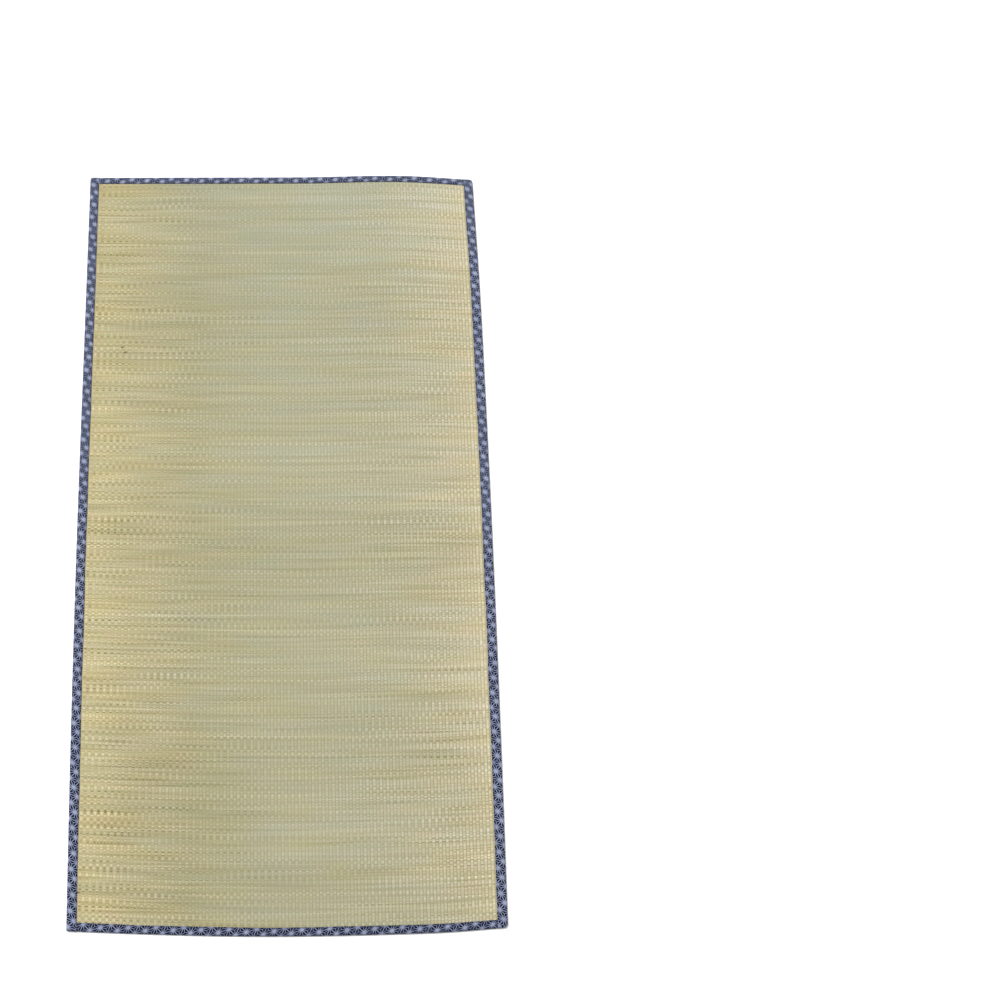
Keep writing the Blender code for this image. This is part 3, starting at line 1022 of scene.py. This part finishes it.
def star_lines(m, rows):
    """How far a place is from the hemp-leaf pattern's lines, in millimetres, and how near to a star's middle,
    from 0 to 1. The three counts of star rows cut the cloth into triangles, whose sides and the lines from
    their corners to their middles are drawn."""
    parts = m.vector("FRACTION", rows)
    total = m.vector("DOT_PRODUCT", parts, (1.0, 1.0, 1.0))
    flip = m.math("GREATER_THAN", total, 1.5)
    inside = m.vector("ABSOLUTE", m.vector("SUBTRACT", m.join(flip, flip, flip), parts))
    a, b, c = m.split(inside)
    least = m.math("MINIMUM", m.math("MINIMUM", a, b), c)
    most = m.math("MAXIMUM", m.math("MAXIMUM", a, b), c)
    middle = m.minus(m.minus(1.0, least), most)
    spacing = STAR_SPACING / MM
    to_side = m.times(least, spacing * math.sqrt(3) / 2)
    to_spoke = m.add(m.times(m.minus(middle, least), spacing / 2), SPOKE_THINNER)
    return m.math("MINIMUM", to_side, to_spoke), most


def wave(m, place, pitch):
    """A wave of this pitch along a place, from -1 to 1."""
    return m.math("SINE", m.times(place, 2 * math.pi / pitch))


def tape_material():
    """Navy cotton with the print in pale lavender-blue lines."""
    m = Shades("printed_cotton", 0.85)
    place = m.attribute("tape")
    along, cloth, to_edge = m.split(place)
    lines, to_star = star_lines(m, m.attribute("star_rows"))
    ink = m.noise(place, INK_FINENESS, 3.0, 0.6)
    spread, _, _ = m.split(m.attribute("ink_spread"))
    reach = m.add(m.ramp(ink, 0.3, 0.7, *LINE_REACH), m.ramp(to_star, *STAR_FADE, 0.0, STAR_REACH), spread)
    line = m.ramp(m.minus(lines, reach), LINE_SOFTNESS, -LINE_SOFTNESS, smooth=True)
    cover = m.ramp(m.noise(place, COVER_FINENESS), 0.3, 0.7, *INK_COVER)
    ground = m.mix(m.noise(place, NAVY_FINENESS), *map(paint, NAVY))
    pale = m.mix(m.noise(place, PALE_FINENESS), *map(paint, PALE_BLUE))
    colour = m.mix(m.times(line, cover), ground, pale)
    weave = m.times(wave(m, along, WARP_PITCH), wave(m, cloth, WEFT_PITCH))
    # Painted shade: darker lines along the tape's inner edge and along the line of its seam.
    hem_painted_shade = m.ramp(to_edge, *HEM_PAINTED_SHADE, 1.0, smooth=True)
    seam_painted_shade = m.ramp(m.apart(to_edge, STITCH_INSET), *SEAM_PAINTED_SHADE, 1.0, smooth=True)
    shade = m.times(m.times(m.ramp(weave, -1.0, 1.0, *YARN_SHADE), hem_painted_shade), seam_painted_shade)
    relief = m.add(m.times(weave, YARN_HEIGHT), m.times(ink, INK_HEIGHT))
    m.shader.inputs["Specular IOR Level"].default_value = TAPE_SPECULAR
    m.show(m.shaded(colour, shade), m.ramp(weave, -1.0, 1.0, *TAPE_ROUGHNESS), relief)
    return m.material


def thread_material():
    """Twisted navy sewing thread."""
    m = Shades("navy_thread", 0.7)
    along, inward, number = m.split(m.attribute("thread"))
    twist = wave(m, m.add(along, inward), THREAD_TWIST)
    tint, _, _ = m.random(m.join(number, THREAD_ROW))
    colour = m.mix(tint, *map(paint, THREAD_COLOURS))
    colour = m.shaded(colour, m.ramp(twist, -1.0, 1.0, *THREAD_SHADE))
    m.show(colour, m.ramp(twist, -1.0, 1.0, *THREAD_ROUGHNESS), m.times(twist, THREAD_HEIGHT))
    return m.material


def floor_material():
    m = Shades("pale_floor", 0.9)
    m.shader.inputs["Base Color"].default_value = FLOOR_COLOUR
    m.shader.inputs["Specular IOR Level"].default_value = FLOOR_SPECULAR
    return m.material


# Floor, light and camera


def make_floor():
    corners = np.array([(-0.5, -0.5, 0), (0.5, -0.5, 0), (0.5, 0.5, 0), (-0.5, 0.5, 0)])
    points = corners * FLOOR_SIZE - (0, 0, FLOOR_DROP)
    floor = new_mesh_object("floor", points, np.arange(4), np.array([0]), floor_material())


def make_light():
    world = bpy.data.worlds.new("studio")
    bpy.context.scene.world = world
    world.use_nodes = True
    background = world.node_tree.nodes["Background"]
    background.inputs["Color"].default_value = SKY_COLOUR
    background.inputs["Strength"].default_value = SKY_STRENGTH
    light = bpy.data.lights.new("soft_box", "AREA")
    light.energy = LAMP_POWER
    light.shape = "DISK"
    light.size = LAMP_SIZE
    lamp = add_object("soft_box", light)
    lamp.location = LAMP_PLACE
    lamp.rotation_euler = (-Vector(lamp.location)).to_track_quat("-Z", "Y").to_euler()


def make_camera():
    data = bpy.data.cameras.new("camera")
    data.lens = CAMERA_LENS
    data.sensor_width = CAMERA_SENSOR
    data.shift_x = CAMERA_SHIFT
    data.clip_end = CAMERA_REACH
    camera = add_object("camera", data)
    camera.location = CAMERA_PLACE
    camera.rotation_euler = (math.radians(90 - CAMERA_ELEVATION), 0, 0)
    bpy.context.scene.camera = camera
    bpy.context.scene.view_settings.view_transform = "Standard"


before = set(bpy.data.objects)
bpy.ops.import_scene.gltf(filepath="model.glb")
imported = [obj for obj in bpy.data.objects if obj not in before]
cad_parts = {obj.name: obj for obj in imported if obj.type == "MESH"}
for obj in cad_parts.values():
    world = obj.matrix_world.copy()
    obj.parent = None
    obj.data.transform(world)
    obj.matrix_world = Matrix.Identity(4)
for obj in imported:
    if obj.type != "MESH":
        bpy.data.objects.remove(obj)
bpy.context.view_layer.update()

make_camera()
make_floor()
make_light()
make_weave(rush_material())
cotton = tape_material()
thread = thread_material()
for edge_name in EDGES:
    make_binding(edge_name, cotton)
    make_stitches(edge_name, thread)
